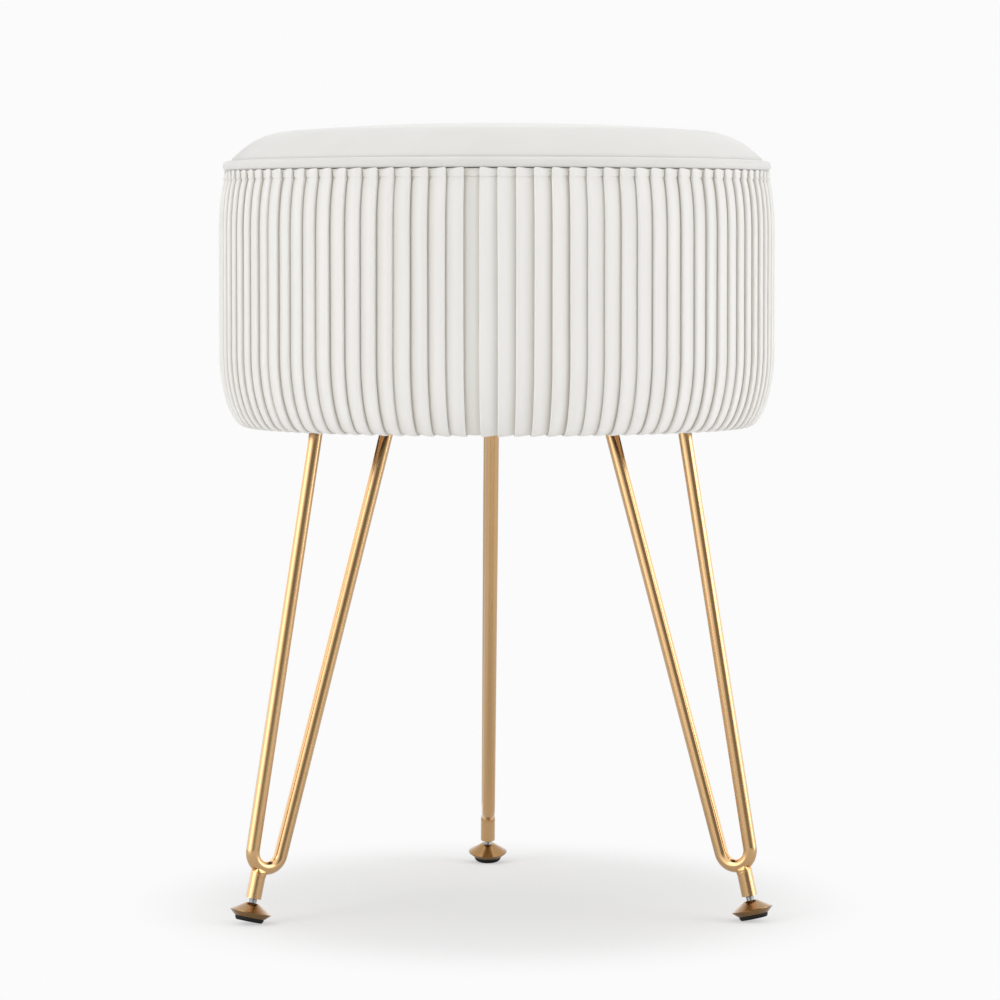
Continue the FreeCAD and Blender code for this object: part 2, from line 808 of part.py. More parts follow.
def hairpin_rod(label, frame):
    """One rod bent to a hairpin and trimmed level under its plate."""
    body = new_body(label)
    spare = rod_radius * 2
    path = plane_sketch(body, "XZ_Plane", label + "_path")
    outer_start = (outer_top - spare * tangent(outer_tilt), plate_bottom + spare)
    inner_end = (inner_top - spare * tangent(inner_tilt), plate_bottom + spare)
    outer_joint = (
        bend_reach + bend_radius * cosine(outer_tilt),
        bend_height + bend_radius * sine(outer_tilt),
    )
    inner_joint = (
        bend_reach - bend_radius * cosine(inner_tilt),
        bend_height - bend_radius * sine(inner_tilt),
    )
    stops = [outer_start, outer_joint, inner_joint, inner_end]
    places = [FreeCAD.Vector(x.number, y.number, 0) for x, y in stops]
    centre = FreeCAD.Vector(bend_reach.number, bend_height.number, 0)
    down = path.addGeometry(Part.LineSegment(places[0], places[1]), False)
    angles = [math.atan2(p.y - centre.y, p.x - centre.x) for p in (places[2], places[1])]
    circle = Part.Circle(centre, AXIS_Z, bend_radius.number)
    bend = path.addGeometry(Part.ArcOfCircle(circle, angles[0], angles[1]), False)
    up = path.addGeometry(Part.LineSegment(places[2], places[3]), False)
    path.addConstraint(Sketcher.Constraint("Coincident", down, 2, bend, 2))
    path.addConstraint(Sketcher.Constraint("Coincident", bend, 1, up, 1))
    for geometry, point, (x, y) in (
        (down, 1, outer_start),
        (up, 2, inner_end),
        (bend, 3, (bend_reach, bend_height)),
        (down, 2, outer_joint),
    ):
        constrain(path, "DistanceX", geometry, point, x)
        constrain(path, "DistanceY", geometry, point, y)
    constrain(path, "DistanceX", up, 1, inner_joint[0])
    tilt = FreeCAD.Placement(
        FreeCAD.Vector(outer_start[0].number, 0, outer_start[1].number),
        FreeCAD.Rotation(AXIS_Y, -outer_tilt.number),
    )
    section = plane_sketch(body, "XY_Plane", label + "_section", tilt)
    round_section(section, as_size(0), as_size(0), rod_radius)
    pipe = body.newObject("PartDesign::AdditivePipe", label + "_bent")
    pipe.Profile = section
    pipe.Spine = (path, ["Edge1", "Edge2", "Edge3"])
    level = FreeCAD.Placement(FreeCAD.Vector(0, 0, plate_bottom.number), FreeCAD.Rotation())
    trim = plane_sketch(body, "XY_Plane", label + "_trim", level)
    trim.setExpression("AttachmentOffset.Base.z", plate_bottom.text)
    half = size("plate_width") / 2
    other = as_size(0) - half
    far = bend_reach + bend_outside
    outline(trim, [(as_size(0), other), (far, other), (far, half), (as_size(0), half)])
    cut = body.newObject("PartDesign::Pocket", label + "_trimmed")
    cut.Profile = trim
    cut.Type = "ThroughAll"
    cut.Reversed = True
    return named(body, label, frame)


def ferrule(label, frame):
    """A threaded tube, coped to sit under the rod's bend."""
    bore = size("stud_diameter") / 2 + size("thread_clearance")
    body = turned_body(label, ring_points(bore, ferrule_radius, ferrule_bottom, ferrule_top))
    beside = FreeCAD.Placement(
        FreeCAD.Vector(0, bend_level.number, -ferrule_offset.number), FreeCAD.Rotation()
    )
    cope = plane_sketch(body, "YZ_Plane", label + "_cope", beside)
    cope.setExpression("AttachmentOffset.Base.y", bend_level.text)
    cope.setExpression("AttachmentOffset.Base.z", "-" + ferrule_offset.text)
    round_section(cope, as_size(0), as_size(0) - bend_radius, rod_radius)
    groove(body, cope, "H_Axis")
    return named(body, label, frame)


def foot_stud(label, frame):
    """A threaded stud whose head turns inside the foot."""
    shank = size("stud_diameter") / 2
    head = size("stud_head_diameter") / 2
    low = pad_top + soft_gap
    high = low + size("stud_head_thickness")
    top = ferrule_bottom + size("stud_engagement")
    bevel = shank / 4
    body = turned_body(
        label,
        [
            (as_size(0), low),
            (head, low),
            (head, high),
            (shank, high),
            (shank, top - bevel),
            (shank - bevel, top),
            (as_size(0), top),
        ],
    )
    return named(body, label, frame)


def foot_cone(label, frame):
    """A conical metal foot, hollow for the stud's head and rebated for the pad."""
    bore = size("stud_diameter") / 2 + size("thread_clearance")
    pocket = size("stud_head_diameter") / 2 + soft_gap
    pocket_top = pad_top + soft_gap + size("stud_head_thickness") + soft_gap
    pad_rim = size("pad_top_diameter") / 2
    rebate = pad_rim - size("pad_seat_step") + fit_gap
    rim = size("foot_diameter") / 2
    crest = size("foot_top_diameter") / 2
    body = turned_body(
        label,
        [
            (rebate, size("pad_show")),
            (pad_rim, size("pad_show")),
            (rim, rim_height),
            (rim, rim_height + size("foot_rim")),
            (crest, cone_top),
            (bore, cone_top),
            (bore, pocket_top),
            (pocket, pocket_top),
            (pocket, pad_top),
            (rebate, pad_top),
        ],
    )
    return named(body, label, frame)


def foot_pad(label, frame):
    """A rubber pad let into the underside of the foot."""
    seat = size("pad_top_diameter") / 2 - size("pad_seat_step")
    body = turned_body(
        label,
        [
            (as_size(0), as_size(0)),
            (pad_bottom_radius, as_size(0)),
            (seat, size("pad_show") / 2),
            (seat, pad_top),
            (as_size(0), pad_top),
        ],
    )
    return named(body, label, frame)


for number, (leg_frame, foot_frame) in enumerate(zip(leg_frames, foot_frames), start=1):
    leg_plate("leg_plate_%d" % number, leg_frame)
    hairpin_rod("hairpin_rod_%d" % number, leg_frame)
    shape_group("leg_screws_%d" % number, spread(leg_screw(), screw_places[number - 1]))
    ferrule("ferrule_%d" % number, foot_frame)
    foot_stud("foot_stud_%d" % number, foot_frame)
    foot_cone("foot_cone_%d" % number, foot_frame)
    foot_pad("foot_pad_%d" % number, foot_frame)

doc.recompute()

# Every object and every sub-part is sound before anything is written
faults = [item.Name for item in doc.Objects if {"Invalid", "Error"} & set(item.State)]
if faults:
    raise RuntimeError("failed objects: %s" % ", ".join(faults))
for item in nodes:
    if item.Shape.isNull() or not item.Shape.isValid() or item.Shape.Volume <= 0:
        raise RuntimeError("unsound shape: %s" % item.Label)

os.makedirs("parts", exist_ok=True)
for item in nodes:
    item.Shape.exportStep("parts/%s.step" % item.Label)
    solids = len(item.Shape.Solids)
    print("%s: %d solid(s), %.0f mm3" % (item.Label, solids, item.Shape.Volume))
print("foot reach %.1f, bend height %.1f" % (foot_reach.number, bend_height.number))
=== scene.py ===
"""A round vanity stool: pleated velvet drum, lift-off padded lid and three hairpin legs."""

import logging
import math
import random
from dataclasses import dataclass
from enum import Enum
from typing import Callable, Optional, Sequence

import bpy
from mathutils import Matrix, Vector


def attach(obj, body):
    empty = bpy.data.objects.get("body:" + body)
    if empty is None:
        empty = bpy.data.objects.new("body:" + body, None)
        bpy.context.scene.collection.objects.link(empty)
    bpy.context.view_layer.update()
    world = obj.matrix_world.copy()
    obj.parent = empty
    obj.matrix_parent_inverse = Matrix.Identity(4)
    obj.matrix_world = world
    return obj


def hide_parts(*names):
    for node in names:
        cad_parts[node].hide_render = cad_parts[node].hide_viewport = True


LOG = logging.getLogger("vanity_stool")
MM = 0.001
PURE_WHITE = (1.0, 1.0, 1.0, 1.0)
# The mesh attribute that says how much painted shade a point of the cloth gets, from how deep in its fold
# it lies
PAINTED_FOLD_SHADE = "painted_fold_shade"
# Places of a colour mix's two colours among its inputs, and of the mixed colour among its outputs
FIRST_COLOUR, SECOND_COLOUR, MIXED_COLOUR = 6, 7, 2
Point = tuple[float, float, float]
Profile = list[tuple[float, float]]
Stations = tuple[tuple[float, float], ...]
# A point of the pleats: azimuth in degrees, share of the depth, lean in degrees and the lean's phase
Spot = tuple[float, float, float, float]

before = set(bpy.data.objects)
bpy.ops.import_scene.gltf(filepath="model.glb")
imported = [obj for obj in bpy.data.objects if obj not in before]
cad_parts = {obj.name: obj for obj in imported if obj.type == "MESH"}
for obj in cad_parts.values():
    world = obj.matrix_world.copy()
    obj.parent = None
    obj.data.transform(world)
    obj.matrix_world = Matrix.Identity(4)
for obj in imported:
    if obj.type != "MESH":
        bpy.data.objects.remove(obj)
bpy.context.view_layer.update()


def linear(hex_colour: str) -> tuple[float, float, float, float]:
    """Turns an sRGB hex colour to linear light.

    Args:
        hex_colour: six hex digits, such as "F2F0EB".

    Returns:
        Linear red, green and blue, and an alpha of 1.
    """
    parts = [int(hex_colour[place:place + 2], 16) / 255 for place in (0, 2, 4)]
    bent = [c / 12.92 if c <= 0.04045 else ((c + 0.055) / 1.055) ** 2.4 for c in parts]
    return bent[0], bent[1], bent[2], 1.0


def per_mm(size_mm: float) -> float:
    """The scale at which a pattern repeats once in this many millimetres of a metre-wide space."""
    return 1000.0 / size_mm


def add_node(
    tree: bpy.types.NodeTree,
    kind: str,
    settings: Optional[dict[str, object]] = None,
    links: Optional[dict[object, bpy.types.NodeSocket]] = None,
) -> bpy.types.Node:
    """Adds a node with its settings and its links.

    Args:
        tree: the node tree that gets it.
        kind: the node's type, such as "ShaderNodeBump".
        settings: values for its properties or, where it has no such property, its input sockets.
        links: the output socket that feeds each input, by the input's name or place.

    Returns:
        The new node.
    """
    node = tree.nodes.new(kind)
    for name, value in (settings or {}).items():
        if hasattr(node, name):
            setattr(node, name, value)
        else:
            node.inputs[name].default_value = value
    for place, source in (links or {}).items():
        tree.links.new(source, node.inputs[place])
    return node


class Ends(Enum):
    """How the first and the last ring of a stack of rings are finished."""

    OPEN = "both are left open"
    LAST_FILLED = "the last one is filled"
    FILLED = "both are filled"
    JOINED = "the last one is joined to the first, as round a tube"


@dataclass(frozen=True)
class Finish:
    """What a surface is made of and how it was made.

    The colour varies between two shades in soft patches, and a fine noise raises the surface. Where a
    finish names a fold colour, painted shade also darkens the cloth towards the bottom of its folds.
    """

    name: str
    colour: str
    second_colour: str
    roughness: float
    metallic: float = 0.0
    patch_mm: float = 40.0
    grain_mm: float = 0.6
    bump_mm: float = 0.05
    bump_strength: float = 0.3
    sheen: float = 0.0
    sheen_roughness: float = 0.5
    stretch: Point = (1.0, 1.0, 1.0)
    rough_change: float = 0.0
    # The colour painted into the bottom of folds as shade, if the finish has folds
    painted_crevice_shade: Optional[str] = None
    coat: float = 0.0
    coat_roughness: float = 0.12

    def material(self) -> bpy.types.Material:
        """Makes the finish's material once, so that all its pieces share it.

        Returns:
            The material.
        """
        made = bpy.data.materials.get(self.name)
        if made is not None:
            return made
        made = bpy.data.materials.new(self.name)
        made.use_nodes = True
        tree = made.node_tree
        tree.nodes.clear()
        output = add_node(tree, "ShaderNodeOutputMaterial")
        shader = add_node(tree, "ShaderNodeBsdfPrincipled", {
            "Metallic": self.metallic,
            "Roughness": self.roughness,
            "Coat Weight": self.coat,
            "Coat Roughness": self.coat_roughness,
            "Sheen Weight": self.sheen,
            "Sheen Roughness": self.sheen_roughness,
        })
        tree.links.new(shader.outputs["BSDF"], output.inputs["Surface"])
        place = add_node(tree, "ShaderNodeTexCoord").outputs["Object"]
        stretched = add_node(tree, "ShaderNodeMapping", {"Scale": self.stretch}, {"Vector": place})
        patches = add_node(tree, "ShaderNodeTexNoise", {
            "Scale": per_mm(self.patch_mm),
            "Detail": 3.0,
        }, {"Vector": stretched.outputs["Vector"]})
        mixed = add_node(tree, "ShaderNodeMix", {"data_type": "RGBA"}, {0: patches.outputs["Fac"]})
        mixed.inputs[FIRST_COLOUR].default_value = linear(self.colour)
        mixed.inputs[SECOND_COLOUR].default_value = linear(self.second_colour)
        colour = mixed.outputs[MIXED_COLOUR]
        # Painted shade: the colour darkens towards the bottom of the folds
        if self.painted_crevice_shade is not None:
            colour = self.paint_fold_shade(tree, colour)
        tree.links.new(colour, shader.inputs["Base Color"])
        self.raise_surface(tree, shader, stretched.outputs["Vector"])
        if self.rough_change:
            self.vary_roughness(tree, shader, stretched.outputs["Vector"])
        return made

    def paint_fold_shade(
        self, tree: bpy.types.NodeTree, colour: bpy.types.NodeSocket
    ) -> bpy.types.NodeSocket:
        """Paints shade into the cloth's colour, darker towards the bottom of its folds.

        Args:
            tree: the material's node tree.
            colour: the colour of the open cloth.

        Returns:
            The socket that holds the shaded colour.
        """
        depth = add_node(tree, "ShaderNodeAttribute", {"attribute_name": PAINTED_FOLD_SHADE})
        shaded = add_node(tree, "ShaderNodeMix", {"data_type": "RGBA"}, {
            0: depth.outputs["Fac"],
            FIRST_COLOUR: colour,
        })
        shaded.inputs[SECOND_COLOUR].default_value = linear(self.painted_crevice_shade)
        return shaded.outputs[MIXED_COLOUR]

    def raise_surface(
        self, tree: bpy.types.NodeTree, shader: bpy.types.Node, place: bpy.types.NodeSocket
    ) -> None:
        """Raises the surface by the finish's grain.

        Args:
            tree: the material's node tree.
            shader: the shader that takes the bump.
            place: the coordinates that the grain follows.
        """
        fine = add_node(tree, "ShaderNodeTexNoise", {
            "Scale": per_mm(self.grain_mm),
            "Detail": 2.0,
        }, {"Vector": place})
        bump = add_node(tree, "ShaderNodeBump", {
            "Strength": self.bump_strength,
            "Distance": self.bump_mm * MM,
        }, {"Height": fine.outputs["Fac"]})
        tree.links.new(bump.outputs["Normal"], shader.inputs["Normal"])

    def vary_roughness(
        self, tree: bpy.types.NodeTree, shader: bpy.types.Node, place: bpy.types.NodeSocket
    ) -> None:
        """Lets the roughness wander a little, as handled and polished surfaces do.

        Args:
            tree: the material's node tree.
            shader: the shader whose roughness varies.
            place: the coordinates that the pattern follows.
        """
        smear_mm = self.patch_mm / 4
        smears = add_node(tree, "ShaderNodeTexNoise", {"Scale": per_mm(smear_mm)}, {"Vector": place})
        ranged = add_node(tree, "ShaderNodeMapRange", {
            "To Min": self.roughness - self.rough_change,
            "To Max": self.roughness + self.rough_change,
        }, {"Value": smears.outputs["Fac"]})
        tree.links.new(ranged.outputs["Result"], shader.inputs["Roughness"])


@dataclass(frozen=True)
class WovenCloth(Finish):
    """A plain weave, drawn from the spacing of its threads."""

    thread_mm: float = 0.8

    def raise_surface(
        self, tree: bpy.types.NodeTree, shader: bpy.types.Node, place: bpy.types.NodeSocket
    ) -> None:
        """Raises warp and weft as two crossed bands.

        Args:
            tree: the material's node tree.
            shader: the shader that takes the bump.
            place: the coordinates that the threads follow.
        """
        # A wave repeats every 1/20 of its scaled space times two pi
        scale = per_mm(self.thread_mm) * math.tau / 20
        bands = [
            add_node(tree, "ShaderNodeTexWave", {
                "bands_direction": way,
                "Scale": scale,
                "Distortion": 0.3,
            }, {"Vector": place})
            for way in ("X", "Y", "Z")
        ]
        crossed = bands[0]
        for band in bands[1:]:
            crossed = add_node(tree, "ShaderNodeMath", {"operation": "MAXIMUM"}, {
                0: crossed.outputs[0] if crossed.type == "MATH" else crossed.outputs["Fac"],
                1: band.outputs["Fac"],
            })
        bump = add_node(tree, "ShaderNodeBump", {
            "Strength": self.bump_strength,
            "Distance": self.bump_mm * MM,
        }, {"Height": crossed.outputs[0]})
        tree.links.new(bump.outputs["Normal"], shader.inputs["Normal"])


# Short-pile velvet: the cut pile scatters light widely and glows at grazing angles
# Its colour is painted darker than the same velvet on the drum: painted shade on the lid's cushion and
# piping
SHADED_VELVET = Finish(
    "velvet_short_cut_pile_painted_shade", "E7E6E3", "DFDEDA", 0.92,
    patch_mm=26, grain_mm=0.9, bump_mm=0.12, bump_strength=0.25,
    sheen=0.75, sheen_roughness=0.35,
)
# The same velvet pressed into pleats: streaks of pile run down the drum, and painted shade darkens the
# folds' depths
PLEATED_VELVET = Finish(
    "velvet_knife_pleated_painted_fold_shade", "F6F5F2", "E9E8E4", 0.92,
    patch_mm=7, grain_mm=0.9, bump_mm=0.12, bump_strength=0.25,
    sheen=0.25, sheen_roughness=0.35, stretch=(1.0, 1.0, 0.06), painted_crevice_shade="D9D5CD",
)
# Cotton lining in a plain weave: matt, with a faint thread grid
LINING = WovenCloth(
    "cotton_plain_woven_lining", "D9D6CD", "D2CEC4", 0.95,
    patch_mm=60, bump_mm=0.15, bump_strength=0.35, thread_mm=0.9,
)
# Spun-bonded cloth under the seat: black, matt and slightly fibrous
DUST_CLOTH = Finish(
    "polypropylene_spun_bonded", "18181A", "202022", 0.9,
    patch_mm=12, grain_mm=0.7, bump_mm=0.1, bump_strength=0.4,
)
# Steel rod plated in pale brass and lacquered: soft-edged highlights that go white at the rod's edges
SATIN_BRASS = Finish(
    "steel_satin_brass_plated", "D3AB78", "C79E69", 0.2, 1.0,
    patch_mm=50, grain_mm=0.8, bump_mm=0.003, bump_strength=0.03, rough_change=0.02, coat=1.0,
)
# Turned and plated feet: a shade browner, as on an aged brass plate
ANTIQUE_BRASS = Finish(
    "steel_turned_brass_plated", "94703F", "7E5C32", 0.24, 1.0,
    patch_mm=9, grain_mm=0.4, bump_mm=0.005, bump_strength=0.05, rough_change=0.04, coat=0.5,
)
# Zinc-plated steel: bright, faintly blue-grey
ZINC = Finish(
    "steel_zinc_plated", "C9CBCC", "B9BBBD", 0.28, 1.0,
    patch_mm=6, grain_mm=0.4, bump_mm=0.01, bump_strength=0.1, rough_change=0.05,
)
# Moulded rubber: near black and matt, with a dull highlight on its edge
RUBBER = Finish(
    "rubber_moulded", "030303", "080808", 0.85,
    patch_mm=5, grain_mm=0.3, bump_mm=0.02, bump_strength=0.2,
)
# Sanded birch plywood: pale, with long grain
PLYWOOD = Finish(
    "birch_plywood_sanded", "D8BC92", "C4A376", 0.6,
    patch_mm=22, grain_mm=1.5, bump_mm=0.05, bump_strength=0.2, stretch=(1.0, 0.08, 1.0),
)
# A weld bead, ground and then plated with the rods: the same brass with a rippled surface
WELD_BRASS = Finish(
    "steel_weld_brass_plated", "D2AA76", "C39A64", 0.28, 1.0,
    patch_mm=3, grain_mm=1.2, bump_mm=0.12, bump_strength=0.35, rough_change=0.06,
)
# Cotton piping cord
CORD = Finish("cotton_cord_twisted", "E6E1D4", "DCD6C8", 0.95, patch_mm=4, grain_mm=0.8)


def paint(thing: bpy.types.Object, finish: Finish) -> None:
    """Gives a piece or a carried-over node its finish.

    Args:
        thing: the object to dress.
        finish: what it is made of.
    """
    thing.data.materials.clear()
    thing.data.materials.append(finish.material())


def smooth(thing: bpy.types.Object, angle: float = 40.0) -> None:
    """Shades a mesh smooth, and leaves edges sharper than this angle crisp.

    Args:
        thing: the mesh object.
        angle: the least angle, in degrees, of a crisp edge.
    """
    mesh = thing.data
    mesh.polygons.foreach_set("use_smooth", [True] * len(mesh.polygons))
    mesh.set_sharp_from_angle(angle=math.radians(angle))


def new_piece(
    name: str,
    points: Sequence[Point],
    faces: Sequence[Sequence[int]],
    finish: Finish,
    body: str,
    depths: Optional[Sequence[float]] = None,
) -> bpy.types.Object:
    """Makes a mesh piece and lets it ride on its body.

    Args:
        name: the piece's name.
        points: its vertices, in metres.
        faces: its faces, as vertex indices.
        finish: what it is made of.
        body: the body that carries it.
        depths: how much painted shade each vertex gets, from 0 to 1, by how deep in a fold it lies.

    Returns:
        The new object.
    """
    mesh = bpy.data.meshes.new(name)
    mesh.from_pydata(points, [], faces)
    mesh.validate()
    if depths is not None:
        # These values set how much painted shade the folds get
        mesh.attributes.new(PAINTED_FOLD_SHADE, "FLOAT", "POINT").data.foreach_set("value", depths)
    piece = bpy.data.objects.new(name, mesh)
    bpy.context.scene.collection.objects.link(piece)
    paint(piece, finish)
    smooth(piece)
    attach(piece, body)
    LOG.info("%s: %d vertices on %s", name, len(mesh.vertices), body)
    return piece


def ring_faces(rows: int, columns: int, ends: Ends) -> list[tuple[int, ...]]:
    """Faces of a stack of closed rings.

    Args:
        rows: how many rings.
        columns: how many points in a ring.
        ends: how the first and the last ring are finished.

    Returns:
        The faces, as vertex indices.
    """
    faces: list[tuple[int, ...]] = []
    last = rows - 1
    for row in range(rows if ends is Ends.JOINED else last):
        low, high = row * columns, (row + 1) % rows * columns
        for column in range(columns):
            after = (column + 1) % columns
            faces.append((low + column, low + after, high + after, high + column))
    if ends is Ends.FILLED:
        faces.append(tuple(reversed(range(columns))))
    if ends in (Ends.FILLED, Ends.LAST_FILLED):
        faces.append(tuple(last * columns + column for column in range(columns)))
    return faces


def turned(
    name: str,
    profile: Profile,
    finish: Finish,
    body: str,
    segments: int = 192,
    change: Optional[Callable[[float, float], float]] = None,
    ends: Ends = Ends.OPEN,
    place: Optional[Matrix] = None,
    lift: Optional[Callable[[float, float], float]] = None,
) -> bpy.types.Object:
    """Turns a profile about Z, with a small change of radius if one is given.

    Args:
        name: the piece's name.
        profile: radius and height of each ring.
        finish: what it is made of.
        body: the body that carries it.
        segments: how many points go round.
        change: radius to add, from the azimuth and the height.
        ends: how the first and the last ring are finished.
        place: where the axis stands, if not on the drum's.
        lift: height to add, from the azimuth and the radius.

    Returns:
        The new object.
    """
    points: list[Point] = []
    for radius, height in profile:
        for step in range(segments):
            azimuth = math.tau * step / segments
            reach = radius + (change(azimuth, height) if change else 0.0)
            level = height + (lift(azimuth, radius) if lift else 0.0)
            points.append((reach * math.cos(azimuth), reach * math.sin(azimuth), level))
    if place is not None:
        points = [tuple(place @ Vector(point)) for point in points]
    return new_piece(name, points, ring_faces(len(profile), segments, ends), finish, body)


def wander(rng: random.Random, waves: int, size: float) -> Callable[[float], float]:
    """A smooth closed random change round the axis.

    Args:
        rng: the seeded source of numbers.
        waves: how many harmonics it has.
        size: its largest amplitude.

    Returns:
        A function of the azimuth in radians.
    """
    terms = [(k, rng.uniform(0, math.tau), rng.uniform(0.3, 1) / k) for k in range(1, waves + 1)]
    total = sum(weight for _, _, weight in terms)

    def change(azimuth: float) -> float:
        """The change at this azimuth."""
        return size / total * sum(w * math.sin(k * azimuth + turn) for k, turn, w in terms)

    return change


def cloth_disc(
    name: str,
    node: str,
    finish: Finish,
    radius: float,
    low: float,
    high: float,
) -> bpy.types.Object:
    """A round cloth stuck or stapled flat to a board, with slack that shows as faint waves.

    Args:
        name: the piece's name.
        node: the node that it replaces.
        finish: what it is made of.
        radius: its outer radius.
        low: the height of its underside.
        high: the height of its top.

    Returns:
        The new object.
    """
    rng = random.Random(len(name))
    around, across = wander(rng, 7, 1.0), wander(rng, 5, 1.0)
    steps, hub, rounding, slack = 16, 0.0005, 0.0003, 0.0003
    reaches = [hub] + [radius * step / steps for step in range(1, steps)] + [radius - rounding]
    line = [(reach, low) for reach in reaches] + [(radius, (low + high) / 2)]
    line += [(reach, high) for reach in reversed(reaches)]

    def lift(azimuth: float, reach: float) -> float:
        """The wave's height, which dies out at the middle and the edge."""
        share = reach / radius
        wave = around(azimuth) + across(azimuth * 2 + share * 6)
        return slack * wave * share * (1 - share) * 4

    piece = turned(name, line, finish, "stand", 144, ends=Ends.FILLED, lift=lift)
    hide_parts(node)
    return piece


@dataclass
class Drum:
    """The pleated drum with its linings, in metres."""

    radius: float = 0.165
    bottom: float = 0.285
    top: float = 0.435
    corner_width: float = 0.016
    corner_height: float = 0.045
    rim_width: float = 0.006
    rim_height: float = 0.035
    hem_radius: float = 0.1432
    mouth_radius: float = 0.1443
    hoop_radius: float = 0.1454
    board_top: float = 0.3024
    cloth_bottom: float = 0.2898
    board_bottom: float = 0.2904
    pleat_depth: float = 0.0022
    pleat_count: int = 100
    seam_azimuth: float = 264.7
    seam_cell: float = 3.4
    # A pleat's section from its folded edge: share of the pleat's width and share of its depth
    fold: Stations = (
        (-0.030, 0.86), (-0.046, 0.52), (-0.030, 0.20), (0.025, 0.03), (0.10, 0.0), (0.26, 0.09),
        (0.42, 0.22), (0.57, 0.38), (0.71, 0.57), (0.84, 0.78), (0.92, 0.93), (0.985, 1.02),
    )
    # The flat first pleat left of the seam, in the same shares
    seam_panel: Stations = (
        (0.06, 0.86), (0.16, 0.66), (0.35, 0.60), (0.58, 0.66), (0.80, 0.82), (0.93, 0.98), (0.985, 1.04),
    )
    # The cloth stands up against the piping before it turns in over the hoop: radius, height over the
    # top and share of the pleats' depth
    lip: tuple[Point, ...] = (
        (0.1624, -0.0040, 1.0), (0.1621, -0.0022, 0.9), (0.1620, -0.0006, 0.75), (0.1620, 0.0008, 0.7),
        (0.1617, 0.0013, 0.7), (0.1606, 0.0010, 0.7), (0.1585, 0.0008, 0.5), (0.1564, 0.0006, 0.3),
        (0.1545, 0.0002, 0.2), (0.1520, 0.0, 0.2),
    )
    # How far a pleat's middle may stray, in widths, how far it may lean, in degrees, and how much its
    # depth may change
    most_nudge: float = 0.05
    most_lean: float = 0.05
    shallowest: float = 0.86
    deepest: float = 1.12
    sway_per_metre: float = 30.0
    # The share of the depth at which the folds' painted shade starts, and how much more it takes to be full
    shade_from: float = 0.25
    shade_span: float = 0.85

    def outline(self) -> list[tuple[float, float, float]]:
        """The crest line from the hem under the hoop to the mouth.

        Returns:
            Radius, height and share of the pleat's depth at each station.
        """
        line = [
            (self.hem_radius, self.bottom + 0.0030, 0.35),
            (self.hem_radius + 0.0004, self.bottom + 0.0010, 0.4),
            (self.hem_radius + 0.0020, self.bottom + 0.0002, 0.5),
        ]
        for step in range(13):
            turn = math.pi / 2 * (1 - step / 12)
            share = min(1.0, 0.62 + 0.38 * step / 4)
            line.append((
                self.radius - self.corner_width * (1 - math.cos(turn)),
                self.bottom + self.corner_height * (1 - math.sin(turn)),
                share,
            ))
        low, high = self.bottom + self.corner_height, self.top - self.rim_height
        for step in range(1, 10):
            line.append((self.radius, low + (high - low) * step / 10, 1.0))
        # The rim's curve stops short of its top, where the lip takes over
        for step in range(8):
            turn = math.pi / 2 * step / 10
            line.append((
                self.radius - self.rim_width * (1 - math.cos(turn)),
                self.top - self.rim_height * (1 - math.sin(turn)),
                1.0,
            ))
        line += [(radius, self.top + rise, share) for radius, rise, share in self.lip]
        line.append((self.mouth_radius + 0.0006, self.top, 0.2))
        line.append((self.mouth_radius, self.top - 0.0008, 0.2))
        line.append((self.mouth_radius, self.top - 0.0016, 0.2))
        return line

    def cells(self) -> list[tuple[float, float]]:
        """Where each pleat's folded edge and its far side lie.

        Returns:
            Start and end azimuths, in degrees, with the folded edge at the start.
        """
        cell = 360 / self.pleat_count
        half = self.pleat_count // 2
        right = [
            (self.seam_azimuth + cell * k, self.seam_azimuth + cell * (k + 1)) for k in range(half)
        ]
        left = [(self.seam_azimuth, self.seam_azimuth - self.seam_cell)]
        while len(left) < self.pleat_count - half:
            left.append((left[-1][1], left[-1][1] - cell))
        left[-1] = (left[-1][0], right[-1][1] - 360)
        return right + left

    def sleeve(self) -> bpy.types.Object:
        """The velvet sleeve, with a soft overlapping fold at each pleat and painted shade in the folds'
        depths.

        Returns:
            The new object.
        """
        rng = random.Random(7)
        right: list[list[Spot]] = []
        left: list[list[Spot]] = []
        for start, end in self.cells():
            turned_right, width = end > start, end - start
            fold = self.fold if turned_right or left else self.seam_panel
            nudge = rng.uniform(-self.most_nudge, self.most_nudge)
            depth = rng.uniform(self.shallowest, self.deepest)
            lean = rng.uniform(-self.most_lean, self.most_lean)
            phase = rng.uniform(0, math.tau)
            ring = [
                (start + width * (across + nudge * (1 - abs(2 * across - 1))), share * depth, lean, phase)
                for across, share in fold
            ]
            (right if turned_right else left).append(ring)
        ordered = [spot for ring in right for spot in ring]
        ordered += [spot for ring in reversed(left) for spot in reversed(ring)]
        line = self.outline()
        points: list[Point] = []
        depths: list[float] = []
        for place, (radius, height, fade) in enumerate(line):
            before, after = line[max(place - 1, 0)], line[min(place + 1, len(line) - 1)]
            along = Vector((after[0] - before[0], after[1] - before[1])).normalized()
            inward = Vector((-along.y, along.x))
            for azimuth, share, lean, phase in ordered:
                sway = lean * math.sin(phase + (height - self.bottom) * self.sway_per_metre)
                turn = math.radians(azimuth + sway * fade)
                drop = self.pleat_depth * share * fade
                reach, level = radius + inward.x * drop, height + inward.y * drop
                points.append((reach * math.cos(turn), reach * math.sin(turn), level))
                # How much painted shade the point gets, from how deep in its fold it lies
                depths.append(min(1.0, max(0.0, (share - self.shade_from) / self.shade_span)))
        faces = ring_faces(len(line), len(ordered), Ends.OPEN)
        piece = new_piece("pleated_sleeve", points, faces, PLEATED_VELVET, "stand", depths)
        smooth(piece, 75)
        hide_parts("pleated_cover", "drum_wadding")
        return piece

